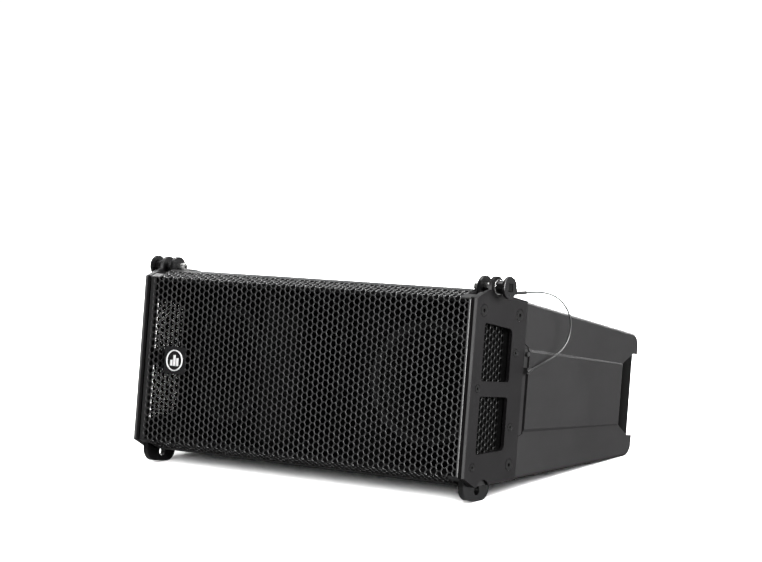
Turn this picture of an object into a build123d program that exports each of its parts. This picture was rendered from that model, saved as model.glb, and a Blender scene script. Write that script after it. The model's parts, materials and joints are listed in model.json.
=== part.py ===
from build123d import *
import math
import os

# A compact two-way line array speaker: a wedge-shaped cabinet with a steel rigging plate on each
# side, quick-lock pins through the top ears, lugs below and a swinging link at the rear.
#
# The box frame: X to the right, Y to the back, Z up, in millimetres. The mid-plane is Z = 0, the
# side plates' front edges stand at Y = 0, and the box is the same on both sides of X = 0.
# Every piece is drawn in that frame, then laid in the resting place on lugs and rear edge.

# Driving dimensions
box_width = 570.0  # over the side plates
box_depth = 411.0  # from the plates' front edges to the rear face
front_half = 116.0  # half the height of a plate's front edge
shoulder_depth = 27.0  # where the front bevel meets the tapered top
shoulder_half = 127.5  # half the height there, which is the box's largest
rear_half = 85.0  # half the height at the rear face
edge_radius = 18.0  # rear top and bottom edges
side_edge_radius = 5.0  # the edges of the sides

shell_wall = 10.0
side_wall = 15.0
rear_wall = 18.0
lip_thickness = 4.0  # the shell's thin sides in front of the baffle
shell_front = 29.0  # front of the top and bottom walls, behind the grille

plate_depth = 118.0
plate_thickness = 5.0
fit_gap = 0.2  # round the parts let into the shell

grille_sheet = 1.5
grille_half_width = 274.5
grille_return = 12.0  # depth of the pan's side returns
grille_gap = 0.4  # how far the pan lies below the plates' outline

hinge_depth = 44.5  # the pins' axis, from the plates' front edges
hinge_height = 132.0  # the pins' axis above the mid-plane, and the lug holes' below it
pin_radius = 6.0
pin_bore = 6.06
lug_bore = 6.15
ear_radius = 14.0
ear_thickness = 5.0
ear_inner_face = 267.0  # the inner ear's face on the slot between the ears
lug_thickness = 8.0
lug_outer_face = 276.0
lug_bottom = 145.3
lug_corner = 18.0

# Sizes worked out from them
half_width = box_width / 2
plate_inner = half_width - plate_thickness
taper = (shoulder_half - rear_half) / (box_depth - shoulder_depth)
bevel = (shoulder_half - front_half) / shoulder_depth
wrap_step = grille_sheet * math.hypot(1, bevel)  # the sheet's height where it runs along the bevel
cavity_rear = box_depth - rear_wall
cavity_half_width = half_width - side_wall
lip_inner = plate_inner - lip_thickness


def half_height(depth):
    """Half the cabinet's height at a depth behind the shoulders."""
    return shoulder_half - taper * (depth - shoulder_depth)


def bevel_half(depth):
    """Half the height of the bevelled front at a depth in front of the shoulders."""
    return front_half + bevel * depth


def block(x_range, y_range, z_range, mode=Mode.ADD):
    """A box between the given ends, added to the part being built."""
    lows = [min(pair) for pair in (x_range, y_range, z_range)]
    sizes = [abs(pair[1] - pair[0]) for pair in (x_range, y_range, z_range)]
    with Locations(tuple(lows)):
        Box(*sizes, align=(Align.MIN, Align.MIN, Align.MIN), mode=mode)


def both_sides(x_range, y_range, z_range, mode=Mode.ADD):
    """The same box on the left and on the right."""
    block(x_range, y_range, z_range, mode)
    block([-x for x in x_range], y_range, z_range, mode)


def both_heights(x_range, y_range, z_range, mode=Mode.ADD):
    """The same box above and below the mid-plane, on the left and on the right."""
    both_sides(x_range, y_range, z_range, mode)
    both_sides(x_range, y_range, [-z for z in z_range], mode)


def tapered_outline(front, rear, inset):
    """The side view of the tapered box between two depths, set in from top and bottom."""
    top = half_height(front) - inset
    end = half_height(rear) - inset
    Polygon((front, top), (rear, end), (rear, -end), (front, -top), align=None)


def on_side(depth, height, reach=half_width):
    """A plane on the right side, facing outwards, at a depth and height."""
    return Plane(origin=(reach, depth, height), x_dir=(0, 1, 0), z_dir=(1, 0, 0))


pieces = {}


def keep(piece, name):
    """Files a finished piece under its name."""
    pieces[name] = piece


def keep_pair(piece, name):
    """Files a right-hand piece and its mirror image."""
    keep(piece, f"{name}_right")
    keep(mirror(piece, about=Plane.YZ), f"{name}_left")


# Screw places on a side plate, as (depth, height)
large_screws = [(18.0, 100.7), (101.5, 98.0), (101.5, -98.0)]
small_screws = [(97.5, 48.5), (97.5, -48.5), (15.7, 0.0), (17.0, -101.5)]
lug_bolts_at = [(38.0, -101.0), (60.0, -101.0)]
ear_bolt_at = (54.0, 100.7)

# Windows in the side plates, upper one; the lower one mirrors it
window_front = 22.0
window_rear = 86.3
window_low = 9.8
window_top_front = 85.5
window_top_rear = 79.0
window_corner = 4.0
window_rear_corner = 8.0


def windows(grow=0.0):
    """Both windows of a side plate, in the side view, grown by a margin."""
    front = window_front - grow
    rear = window_rear + grow
    for side in (1, -1):
        with BuildSketch(mode=Mode.PRIVATE) as window:
            Polygon(
                (front, side * (window_low - grow)),
                (rear, side * (window_low - grow)),
                (rear, side * (window_top_rear + grow)),
                (front, side * (window_top_front + grow)),
                align=None,
            )
            corners = window.vertices().sort_by(Axis.X)
            rear_corners = corners[2:].sort_by(Axis.Y)[::side]
            fillet([corners[0], corners[1], rear_corners[0]], window_corner)
            rear_corners = window.vertices().group_by(Axis.X)[-1].sort_by(Axis.Y)[::side]
            fillet(rear_corners[-1], window_rear_corner)
        add(window.sketch)


# Cabinet shell -------------------------------------------------------------------------------

grip_x = 273.0  # the rear grips stand in the rear corners
grip_depth = 395.0
grip_radius = 10.0
grip_recess_half = 57.0
grip_recess_front = 370.0
grip_recess_inner = 234.0
grip_recess_deep = 350.0
grip_shelf = 10.0  # wall round the recess
grip_recess_corners = (8.0, 4.0)  # radii at the front and at the rear

channel_half = 25.0  # rear rigging channel
channel_front = 370.0

panel_inner_x = 35.0  # rear panels' pockets, mirrored left and right
panel_outer_x = 191.0
panel_half_height = 68.0
panel_seat = 399.0
panel_ledge = 7.0
panel_screw_x = (panel_inner_x + 3.8, panel_outer_x - 3.8)
panel_screw_z = panel_half_height - 3.8

mid_panel_front = 128.0  # raised panel on each side, fading to the rear
mid_panel_rear = 372.0
mid_panel_raise = 2.2
mid_panel_end_raise = 1.0
mid_panel_slope = 62.0  # of its upper and lower borders, from square
mid_panel_half_front = 57.0
mid_panel_half_rear = 45.0
pocket_floor = 283.4  # the lanyard pocket in front of it
pocket_half_front = 61.5

mesh_inner = 278.4
mesh_sheet = 1.5
mesh_front = 19.5
mesh_rear = 91.0
mesh_half = 92.0

bracket_inner = ear_inner_face - ear_thickness
bracket_front = 12.0
bracket_rear = 71.0
bracket_low = 90.0
bracket_top = 117.0
lug_inner_face = lug_outer_face - lug_thickness
lug_front = 12.8
lug_rear = 72.2
lug_top = 88.0

with BuildPart() as shell:
    with BuildSketch(Plane.YZ):
        tapered_outline(shell_front, box_depth, 0)
    extrude(amount=half_width, both=True)
    fillet(shell.faces().sort_by(Axis.Y)[-1].edges().filter_by(Axis.X), edge_radius)
    fillet(shell.faces().sort_by(Axis.Y)[-1].edges().filter_by(Axis.Z), side_edge_radius)

    # The side plates are let in flush
    both_sides((plate_inner, half_width + 1), (0, plate_depth + fit_gap), (-150, 150), Mode.SUBTRACT)

    # Hollow inside
    with BuildSketch(Plane.YZ):
        tapered_outline(shell_front, cavity_rear, shell_wall)
    extrude(amount=cavity_half_width, both=True, mode=Mode.SUBTRACT)

    # Thin lips carry the sides forward to the grille
    for reach in (lip_inner, -plate_inner):
        with BuildSketch(Plane.YZ.offset(reach)):
            end = shell_front + 1
            Polygon(
                (1, bevel_half(1)),
                (shoulder_depth, shoulder_half),
                (end, half_height(end)),
                (end, -half_height(end)),
                (shoulder_depth, -shoulder_half),
                (1, -bevel_half(1)),
                align=None,
            )
        extrude(amount=lip_thickness)

    # Noses at top and bottom back the grille's bevelled margins
    nose_front = 12.0
    nose_rear = shell_front + 3
    nose_thickness = 9.0
    drop = wrap_step + grille_gap + 0.1
    for side in (1, -1):
        with BuildSketch(Plane.YZ):
            Polygon(
                (nose_front, side * (bevel_half(nose_front) - drop)),
                (shell_front, side * (bevel_half(shell_front) - drop - 1)),
                (nose_rear, side * (bevel_half(shell_front) - drop - 1)),
                (nose_rear, side * (bevel_half(nose_front) - drop - nose_thickness)),
                (nose_front, side * (bevel_half(nose_front) - drop - nose_thickness)),
                align=None,
            )
        extrude(amount=grille_half_width - grille_sheet - 1, both=True)

    # Bosses behind the front middle screws
    both_sides((lip_inner - 8, lip_inner + 1), (grille_return + 0.4, 26), (-9, 9))

    # Seats for the ear brackets, the lugs and the other box's lugs between the ears
    seat = (bracket_inner - fit_gap, lip_inner)
    depths = (bracket_front - fit_gap, bracket_rear + fit_gap)
    both_sides(seat, depths, (bracket_low - fit_gap, 150), Mode.SUBTRACT)
    both_sides((lip_inner - 1, plate_inner), (19, 71), (bracket_top, 150), Mode.SUBTRACT)
    seat = (lug_inner_face - fit_gap, lip_inner)
    both_sides(seat, (lug_front - fit_gap, lug_rear + fit_gap), (-150, -lug_top + fit_gap), Mode.SUBTRACT)

    # Side windows, and the shallow seat for their meshes
    for reach in (plate_inner, -plate_inner):
        inward = -math.copysign(1, reach)
        with BuildSketch(Plane.YZ.offset(reach)):
            windows(1.0)
        extrude(amount=inward * (plate_inner - cavity_half_width + 1), mode=Mode.SUBTRACT)
    mesh_room = (mesh_inner - 0.1, plate_inner + 1)
    high = mesh_half + 0.5
    both_sides(mesh_room, (mesh_front - 0.5, mesh_rear + 0.5), (-high, high), Mode.SUBTRACT)

    # Housings for the rear grips and the rear rigging, then their recesses
    shelf_half = grip_recess_half + grip_shelf
    housing = (grip_recess_inner - 8, cavity_half_width + 1)
    both_sides(housing, (grip_recess_deep - 8, cavity_rear + 1), (-shelf_half, shelf_half))
    block((-channel_half - 6, channel_half + 6), (channel_front - 6, cavity_rear + 1), (-84, 84))
    with BuildSketch(Plane.YZ) as recess:
        notch = grip_recess_half
        Polygon(
            (grip_recess_front, -notch + 14),
            (grip_recess_front, notch - 14),
            (box_depth - 15, notch),
            (box_depth + 1, notch),
            (box_depth + 1, -notch),
            (box_depth - 15, -notch),
            align=None,
        )
        front_corners, rear_corners = recess.vertices().group_by(Axis.X)[:2]
        fillet(front_corners, grip_recess_corners[0])
        fillet(rear_corners, grip_recess_corners[1])
    extrude(amount=half_width + 1, both=True, mode=Mode.SUBTRACT)
    # The middle of that cut is given back as the rear wall
    block((-grip_recess_inner, grip_recess_inner), (cavity_rear, box_depth), (-notch - 0.5, notch + 0.5))
    deep = (grip_recess_inner, cavity_half_width)
    both_sides(deep, (grip_recess_deep, box_depth + 1), (-notch, notch), Mode.SUBTRACT)
    for side in (1, -1):
        with Locations((side * grip_x, grip_depth, 0)):
            Cylinder(grip_radius + 0.3, 2 * notch, mode=Mode.SUBTRACT)
    block((-channel_half, channel_half), (channel_front, box_depth + 1), (-120, 120), Mode.SUBTRACT)

    # Pockets and openings for the two rear panels
    high = panel_half_height
    both_sides((panel_inner_x, panel_outer_x), (panel_seat, box_depth + 1), (-high, high), Mode.SUBTRACT)
    inside = (panel_inner_x + panel_ledge, panel_outer_x - panel_ledge)
    low = high - panel_ledge
    both_sides(inside, (cavity_rear - 1, panel_seat + 1), (-low, low), Mode.SUBTRACT)

    # The raised side panels with sloping borders, lower towards the rear and cut square in front
    panel_run_out = (mid_panel_raise + 1) * math.tan(math.radians(mid_panel_slope)) + 0.2
    panel_fan = (mid_panel_half_front - mid_panel_half_rear) * panel_run_out
    panel_fan /= mid_panel_rear - mid_panel_front
    for side in (1, -1):
        outer = Plane(origin=(side * (half_width - 1), 0, 0), x_dir=(0, 1, 0), z_dir=(side, 0, 0))
        with BuildSketch(outer):
            Polygon(
                (mid_panel_front - panel_run_out, mid_panel_half_front + panel_fan),
                (mid_panel_rear, mid_panel_half_rear),
                (mid_panel_rear, -mid_panel_half_rear),
                (mid_panel_front - panel_run_out, -mid_panel_half_front - panel_fan),
                align=None,
            )
        extrude(amount=mid_panel_raise + 1, taper=mid_panel_slope)
        before = (mid_panel_front - panel_run_out - 1, mid_panel_front)
        block((side * half_width, side * (half_width + 5)), before, (-70, 70), Mode.SUBTRACT)
        with BuildSketch(Plane.XY):
            Polygon(
                (side * (half_width + mid_panel_raise), mid_panel_front - 1),
                (side * (half_width + 5), mid_panel_front - 1),
                (side * (half_width + 5), mid_panel_rear + 1),
                (side * (half_width + mid_panel_end_raise), mid_panel_rear + 1),
                align=None,
            )
        extrude(amount=100, both=True, mode=Mode.SUBTRACT)
    grip_side = (half_width - 2, half_width + 5)
    both_sides(grip_side, (grip_recess_front, mid_panel_rear + 1), (-43, 43), Mode.SUBTRACT)

    # The lanyard pockets in front of them
    for reach in (pocket_floor, -half_width - 1):
        with BuildSketch(Plane.YZ.offset(reach)):
            Polygon(
                (plate_depth, pocket_half_front),
                (mid_panel_front, mid_panel_half_front),
                (mid_panel_front, -mid_panel_half_front),
                (plate_depth, -pocket_half_front),
                align=None,
            )
        extrude(amount=half_width + 1 - pocket_floor, mode=Mode.SUBTRACT)

    # Screw holes
    for side in (1, -1):
        for radius, places in ((4.05, large_screws), (2.55, small_screws)):
            for depth, height in places:
                with Locations(Location((side * 270, depth, height), (0, 90, 0))):
                    Cylinder(radius, 30, mode=Mode.SUBTRACT)
        for depth, height in lug_bolts_at + [ear_bolt_at]:
            with Locations(Location((side * 279, depth, height), (0, 90, 0))):
                Cylinder(3.2, 8, mode=Mode.SUBTRACT)
        for x in panel_screw_x:
            for height in (-panel_screw_z, panel_screw_z):
                with Locations(Location((side * x, panel_seat, height), (90, 0, 0))):
                    Cylinder(2.05, 20, mode=Mode.SUBTRACT)

keep(shell.part, "cabinet_shell")
print("shell solids", len(shell.part.solids()), "volume", round(shell.part.volume / 1000), "cm3")


# Side plates, meshes, ears and lugs ------------------------------------------------------------

with BuildPart() as side_plate:
    with BuildSketch(Plane.YZ.offset(plate_inner)):
        Polygon(
            (0, front_half),
            (shoulder_depth, shoulder_half),
            (plate_depth, half_height(plate_depth)),
            (plate_depth, -half_height(plate_depth)),
            (shoulder_depth, -shoulder_half),
            (0, -front_half),
            align=None,
        )
        # The outer ear
        with Locations((hinge_depth, hinge_height)):
            Circle(ear_radius)
        with Locations((hinge_depth, hinge_height - 8)):
            Rectangle(2 * ear_radius, 16)
        with Locations((hinge_depth, hinge_height)):
            Circle(pin_bore, mode=Mode.SUBTRACT)
        # Room for the head of the pin in the box below
        with Locations((hinge_depth, -hinge_height)):
            Circle(15, mode=Mode.SUBTRACT)
    extrude(amount=plate_thickness)
    with BuildSketch(Plane.YZ.offset(plate_inner)):
        windows()
    extrude(amount=plate_thickness, mode=Mode.SUBTRACT)
    chamfer(side_plate.faces().sort_by(Axis.Y)[0].edges().filter_by(Axis.Z), 0.8)
    for places, hole, seat in ((large_screws, 4.2, 8.2), (small_screws, 2.7, 5.6)):
        with Locations(*[on_side(depth, height) for depth, height in places]):
            CounterSinkHole(radius=hole, counter_sink_radius=seat)
    for depth, height in lug_bolts_at + [ear_bolt_at]:
        with Locations(Location((plate_inner, depth, height), (0, 90, 0))):
            Cylinder(3.05, 6, mode=Mode.SUBTRACT)
keep_pair(side_plate.part, "side_plate")

with BuildPart() as port_mesh:
    block((mesh_inner, mesh_inner + mesh_sheet), (mesh_front, mesh_rear), (-mesh_half, mesh_half))
keep_pair(port_mesh.part, "port_mesh")

with BuildPart() as ear_bracket:
    block((bracket_inner, lip_inner), (bracket_front, bracket_rear), (bracket_low, bracket_top))
    with BuildSketch(Plane.YZ.offset(bracket_inner)):
        with Locations((hinge_depth, hinge_height)):
            Circle(ear_radius)
        foot = hinge_height - bracket_low - 5
        with Locations((hinge_depth, hinge_height - foot / 2)):
            Rectangle(2 * ear_radius, foot)
        with Locations((hinge_depth, hinge_height)):
            Circle(pin_bore, mode=Mode.SUBTRACT)
    extrude(amount=ear_thickness)
    chamfer(ear_bracket.faces().sort_by(Axis.Z)[0].edges(), 1.0)
    with Locations(Location((lip_inner, large_screws[0][0], large_screws[0][1]), (0, 90, 0))):
        Cylinder(4.05, 12, mode=Mode.SUBTRACT)
    with Locations(Location((lip_inner, ear_bolt_at[0], ear_bolt_at[1]), (0, 90, 0))):
        Cylinder(3.2, 40, mode=Mode.SUBTRACT)
keep_pair(ear_bracket.part, "ear_bracket")

with BuildPart() as lug:
    with BuildSketch(Plane.YZ.offset(lug_inner_face)) as lug_outline:
        with BuildLine():
            Polyline(
                (lug_front, -lug_top),
                (lug_rear, -lug_top),
                (lug_rear, -lug_bottom),
                (lug_front, -lug_bottom),
                close=True,
            )
        make_face()
        fillet(lug_outline.vertices().sort_by(Axis.Y)[:2], lug_corner)
        fillet(lug_outline.vertices().sort_by(Axis.Y)[-2:], 3)
        with Locations((hinge_depth, -hinge_height)):
            Circle(lug_bore, mode=Mode.SUBTRACT)
    extrude(amount=lug_thickness)
    for depth, height in lug_bolts_at:
        with Locations(Location((lug_outer_face, depth, height), (0, 90, 0))):
            Cylinder(3.2, 40, mode=Mode.SUBTRACT)
    with Locations(Location((lug_outer_face, small_screws[-1][0], small_screws[-1][1]), (0, 90, 0))):
        Cylinder(2.55, 8, mode=Mode.SUBTRACT)
keep_pair(lug.part, "lug")


# Fasteners ---------------------------------------------------------------------------------------


def countersunk(places, shank, head, length):
    """Countersunk socket screws in both side plates, flush with their faces."""
    with BuildPart() as screws:
        flats = [on_side(depth, height) for depth, height in places]
        with Locations(*flats):
            Cylinder(shank, length, align=(Align.CENTER, Align.CENTER, Align.MAX))
            Cone(shank, head, head - shank, align=(Align.CENTER, Align.CENTER, Align.MAX))
        for flat in flats:
            with BuildSketch(flat):
                RegularPolygon(head * 0.36, 6)
            extrude(amount=-head * 0.42, mode=Mode.SUBTRACT)
    return screws.part


for name, places, shank, head, length in (
    ("plate_screws_large", large_screws, 4.0, 7.3, 14.0),
    ("plate_screws_small", small_screws, 2.5, 4.8, 12.0),
):
    right = countersunk(places, shank, head, length)
    keep(Compound(children=[right, mirror(right, about=Plane.YZ)]), name)

rigging_bolt_head = 6.0
with BuildPart() as rigging_bolts:
    seats = [(lug_inner_face, depth, height) for depth, height in lug_bolts_at]
    seats.append((bracket_inner, ear_bolt_at[0], ear_bolt_at[1]))
    for seat, depth, height in seats:
        reach = plate_inner + 3 - seat
        with Locations(Plane(origin=(seat, depth, height), x_dir=(0, 1, 0), z_dir=(1, 0, 0))):
            Cylinder(3.0, reach, align=(Align.CENTER, Align.CENTER, Align.MIN))
            Cylinder(5.0, rigging_bolt_head, align=(Align.CENTER, Align.CENTER, Align.MAX))
        head_face = (seat - rigging_bolt_head, depth, height)
        with BuildSketch(Plane(origin=head_face, x_dir=(0, 1, 0), z_dir=(-1, 0, 0))):
            RegularPolygon(2.8, 6)
        extrude(amount=-3.5, mode=Mode.SUBTRACT)
keep(Compound(children=[rigging_bolts.part, mirror(rigging_bolts.part, about=Plane.YZ)]), "rigging_bolts")


# Quick-lock pins -----------------------------------------------------------------------------------

pin_tip = 250.0
collar_face = half_width + 0.3
collar_end = collar_face + 2.0
head_inner = 301.0
head_outer = 305.0
head_radius = 14.7
barrel_radius = 8.6
button_travel = 4.0
spindle_radius = 2.0
spindle_bore = 2.05
spring_room = 4.4  # bore in the barrel round the spring


def along_pin(reach):
    """A plane across the right pin's axis, facing outwards."""
    return Plane(origin=(reach, hinge_depth, hinge_height), x_dir=(0, 1, 0), z_dir=(1, 0, 0))


def rod(start, end, radius, mode=Mode.ADD):
    """A cylinder on the right pin's axis between two reaches."""
    with Locations(along_pin(start)):
        Cylinder(radius, end - start, align=(Align.CENTER, Align.CENTER, Align.MIN), mode=mode)


with BuildPart() as pin_shank:
    rod(pin_tip, collar_face, pin_radius)
    chamfer(pin_shank.faces().sort_by(Axis.X)[0].edges(), 1.5)
    rod(collar_face, collar_end, 10.0)
    rod(pin_tip - 1, collar_end, spindle_bore, Mode.SUBTRACT)
    fillet(pin_shank.edges().filter_by(GeomType.CIRCLE).group_by(Axis.X)[-1].sort_by(SortBy.RADIUS)[-1], 0.6)
keep_pair(pin_shank.part, "pin_shank")

sleeve_drop = 4.0  # the lanyard leaves the head below its axis
tab_end = 17.0
button_room = 10.6
button_room_floor = 298.5
spring_room_end = 296.0
with BuildPart() as pin_head:
    rod(collar_end, head_inner, barrel_radius)
    rod(head_inner, head_outer, head_radius)
    fillet(pin_head.faces().sort_by(Axis.X)[-1].edges(), 0.8)
    # A flat tab on the rim takes the lanyard
    middle = hinge_height - sleeve_drop
    tab = (hinge_depth + tab_end - 5, hinge_depth + tab_end)
    block((head_inner, head_outer - 1), tab, (middle - 3.5, middle + 3.5))
    rod(collar_end, spring_room_end, spring_room, Mode.SUBTRACT)
    rod(spring_room_end - 1, button_room_floor + 1, spindle_bore, Mode.SUBTRACT)
    half = button_room / 2
    depths = (hinge_depth - half, hinge_depth + half)
    heights = (hinge_height - half, hinge_height + half)
    block((button_room_floor, head_outer + 1), depths, heights, Mode.SUBTRACT)
keep_pair(pin_head.part, "pin_head")

button_side = 9.6
button_face = 304.6
with BuildPart() as pin_button:
    half = button_side / 2
    depths = (hinge_depth - half, hinge_depth + half)
    heights = (hinge_height - half, hinge_height + half)
    block((button_face - 1.4, button_face), depths, heights)
    chamfer(pin_button.faces().sort_by(Axis.X)[-1].edges(), 0.4)
    rod(pin_tip + button_travel + 1, button_face - 1, spindle_radius)
    # The disc that bears on the spring
    rod(spring_room_end - 1.4, spring_room_end - 0.2, 3.6)
keep_pair(pin_button.part, "pin_button")

# The spring is drawn at its pressed length, which the travel leaves free
spring_wire = 0.24
spring_radius = 3.0
spring_pitch = 0.6
spring_start = collar_end + spring_wire + 0.05
with BuildPart() as pin_spring:
    with BuildLine() as coil:
        Helix(
            pitch=spring_pitch,
            height=4 * spring_pitch,
            radius=spring_radius,
            center=(spring_start, hinge_depth, hinge_height),
            direction=(1, 0, 0),
        )
    with BuildSketch(Plane(origin=coil.line @ 0, z_dir=coil.line % 0)):
        Circle(spring_wire)
    sweep()
keep_pair(pin_spring.part, "pin_spring")


# Lanyards --------------------------------------------------------------------------------------

cable_radius = 1.2
sleeve_radius = 2.3
sleeve_length = 22.5
cable_start = hinge_depth + tab_end + sleeve_length
route = [
    (302.5, cable_start, hinge_height - sleeve_drop),
    (303.0, 101.0, 129.5),
    (304.0, 123.0, 130.5),
    (305.0, 146.0, 128.5),
    (306.0, 168.0, 121.0),
    (306.5, 186.0, 107.5),
    (306.0, 195.0, 90.0),
    (304.0, 194.0, 71.0),
    (301.0, 184.0, 56.0),
    (297.0, 167.0, 45.0),
    (293.5, 148.0, 36.0),
    (291.2, 129.0, 28.5),
]


def corner_radii(points):
    """For each inner point, 0.45 of the shorter run beside it over the tangent of half the turn."""
    radii = []
    for before, here, after in zip(points, points[1:], points[2:]):
        run_in = Vector(*here) - Vector(*before)
        run_out = Vector(*after) - Vector(*here)
        turn = math.radians(run_in.get_angle(run_out))
        radii.append(0.45 * min(run_in.length, run_out.length) / math.tan(turn / 2))
    return radii


radii = corner_radii(route)
with BuildPart() as lanyard_cable:
    with BuildLine() as cable_line:
        FilletPolyline(*route, radius=radii)
    with BuildSketch(Plane(origin=cable_line.line @ 0, z_dir=cable_line.line % 0)):
        Circle(cable_radius)
    sweep()
keep_pair(lanyard_cable.part, "lanyard_cable")
cable_length = cable_line.wire().length
cable_volume = math.pi * cable_radius**2 * cable_length
print("cable radii", [round(r) for r in radii], "length", round(cable_length, 1))
print("cable volume", round(lanyard_cable.part.volume, 1), "of", round(cable_volume, 1))

with BuildPart() as lanyard_sleeve:
    start = Vector(*route[0])
    lead = (Vector(*route[1]) - start).normalized()
    with Locations(Plane(origin=start, z_dir=lead)):
        Cylinder(sleeve_radius, sleeve_length - 0.6, align=(Align.CENTER, Align.CENTER, Align.MAX))
keep_pair(lanyard_sleeve.part, "lanyard_sleeve")

stud_height = 48.0
stud_depth = 123.0
with BuildPart() as lanyard_anchor:
    # A strip held by a rivet in the pocket, with the crimp on its folded end
    block((pocket_floor, pocket_floor + 1.5), (118.8, 127.2), (22, 54))
    with Locations(Location((pocket_floor, stud_depth, stud_height), (0, 90, 0))):
        Cylinder(3.2, 5.6, align=(Align.CENTER, Align.CENTER, Align.MIN))
    finish = Vector(*route[-1])
    lead = (finish - Vector(*route[-2])).normalized()
    block((pocket_floor, finish.X), (119.2, 126.0), (22, 30))
    with Locations(Plane(origin=finish, z_dir=lead)):
        Cylinder(sleeve_radius, 10.0, align=(Align.CENTER, Align.CENTER, Align.MIN))
keep_pair(lanyard_anchor.part, "lanyard_anchor")


# Grille and badge -------------------------------------------------------------------------------

wrap_rear = 28.0
with BuildPart() as front_grille:
    with BuildSketch(Plane.YZ):
        Polygon(
            (0, front_half - grille_gap),
            (wrap_rear, bevel_half(wrap_rear) - grille_gap),
            (wrap_rear, -bevel_half(wrap_rear) + grille_gap),
            (0, -front_half + grille_gap),
            align=None,
        )
        inner_front = bevel_half(grille_sheet) - grille_gap - wrap_step
        inner_rear = bevel_half(wrap_rear + 1) - grille_gap - wrap_step
        Polygon(
            (grille_sheet, inner_front),
            (wrap_rear + 1, inner_rear),
            (wrap_rear + 1, -inner_rear),
            (grille_sheet, -inner_front),
            align=None,
            mode=Mode.SUBTRACT,
        )
    extrude(amount=grille_half_width, both=True)
    side_return = (grille_half_width - grille_sheet, grille_half_width)
    return_half = inner_front - 0.5
    both_sides(side_return, (grille_sheet / 2, grille_return), (-return_half, return_half))
    # Corner notches clear the ears and lugs
    both_heights((259, 276), (11, 30), (inner_front + 1, 140), Mode.SUBTRACT)
keep(front_grille.part, "front_grille")

badge_x = -217.0
badge_size = 38.0
badge_thickness = 2.0
with BuildPart() as badge_plate:
    half = badge_size / 2
    block((badge_x - half, badge_x + half), (-badge_thickness, 0), (-half, half))
    fillet(badge_plate.edges().filter_by(Axis.Y), 3)
keep(badge_plate.part, "badge_plate")

# A generic mark: a plain ring round three bars
ring_radius = 14.8
ring_width = 1.5
bar_width = 3.4
bar_pitch = 5.4
bar_heights = (8.0, 15.0, 11.0)
bar_foot = -7.5
with BuildPart() as badge_mark:
    with BuildSketch(Plane(origin=(badge_x, -badge_thickness, 0), x_dir=(1, 0, 0), z_dir=(0, -1, 0))):
        Circle(ring_radius)
        Circle(ring_radius - ring_width, mode=Mode.SUBTRACT)
        for place, height in zip((-bar_pitch, 0, bar_pitch), bar_heights):
            with Locations((place, bar_foot + height / 2)):
                Rectangle(bar_width, height)
    extrude(amount=0.8)
keep(badge_mark.part, "badge_mark")


# Baffle, woofers and waveguide ------------------------------------------------------------------

baffle_front = 44.0
baffle_thickness = 15.0
baffle_bend = 78.0
baffle_slope = 0.2525
baffle_half = cavity_half_width - 0.1
baffle_across = baffle_thickness * math.hypot(1, baffle_slope)
horn_cut_x = 62.0
horn_cut_z = 98.0
woofer_x = 172.0
woofer_cut = 72.5


def woofer_plane(side):
    """The front face of the baffle at a woofer's centre, facing out; side is 1 on the right."""
    depth = baffle_front + baffle_slope * (woofer_x - baffle_bend)
    across = Vector(1, side * baffle_slope, 0).normalized()
    outward = Vector(side * baffle_slope, -1, 0).normalized()
    return Plane(origin=(side * woofer_x, depth, 0), x_dir=across, z_dir=outward)


woofer_screw_circle = 78.5
woofer_screw_count = 6

with BuildPart() as front_baffle:
    with BuildSketch(Plane.XY):
        edge_front = baffle_front + baffle_slope * (baffle_half - baffle_bend)
        back = baffle_front + baffle_thickness
        edge_back = baffle_front + baffle_across + baffle_slope * (baffle_half - baffle_bend)
        back_bend = baffle_bend - (baffle_across - baffle_thickness) / baffle_slope
        right_half = [
            (0, baffle_front),
            (baffle_bend, baffle_front),
            (baffle_half, edge_front),
            (baffle_half, edge_back),
            (back_bend, back),
            (0, back),
        ]
        Polygon(*right_half, align=None)
        Polygon(*[(-x, y) for x, y in right_half], align=None)
    extrude(amount=shoulder_half, both=True)
    with BuildSketch(Plane.YZ):
        tapered_outline(shell_front, cavity_rear, shell_wall + 0.1)
    extrude(amount=half_width, both=True, mode=Mode.INTERSECT)
    block((-horn_cut_x, horn_cut_x), (0, 100), (-horn_cut_z, horn_cut_z), Mode.SUBTRACT)
    for side in (1, -1):
        with BuildSketch(woofer_plane(side)):
            Circle(woofer_cut)
            with PolarLocations(woofer_screw_circle, woofer_screw_count, start_angle=30):
                Circle(2.05)
        extrude(amount=40, both=True, mode=Mode.SUBTRACT)
keep(front_baffle.part, "front_baffle")


def turned(plane, outline):
    """A solid of revolution about a plane's normal; the outline is (radius, height) points."""
    side_view = Plane(origin=plane.origin, x_dir=plane.x_dir, z_dir=-plane.y_dir)
    with BuildPart() as solid:
        with BuildSketch(side_view):
            Polygon(*outline, align=None)
        revolve(axis=Axis(plane.origin, plane.z_dir))
    return solid.part


def woofer_basket(plane):
    """The cast basket: flange, cone of spokes, spider shelf and seat for the motor."""
    with BuildPart() as basket:
        add(turned(plane, [(66, 0), (83, 0), (83, 4), (66, 4)]))
        add(
            turned(
                plane,
                [
                    (72, 0),
                    (47, -44),
                    (47, -54),
                    (23, -54),
                    (23, -51),
                    (43.5, -51),
                    (43.5, -46),
                    (39, -46),
                    (39, -44.6),
                    (44, -44.6),
                    (69, 0),
                ],
            )
        )
        for turn in range(6):
            spoke = plane.rotated((0, 0, 60 * turn))
            with BuildSketch(spoke.offset(-40)):
                with Locations((60, 0)):
                    Rectangle(36, 34)
            extrude(amount=31, mode=Mode.SUBTRACT)
        with BuildSketch(plane.offset(-1)):
            with PolarLocations(woofer_screw_circle, woofer_screw_count, start_angle=30):
                Circle(2.2)
        extrude(amount=6, mode=Mode.SUBTRACT)
    return basket.part


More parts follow.
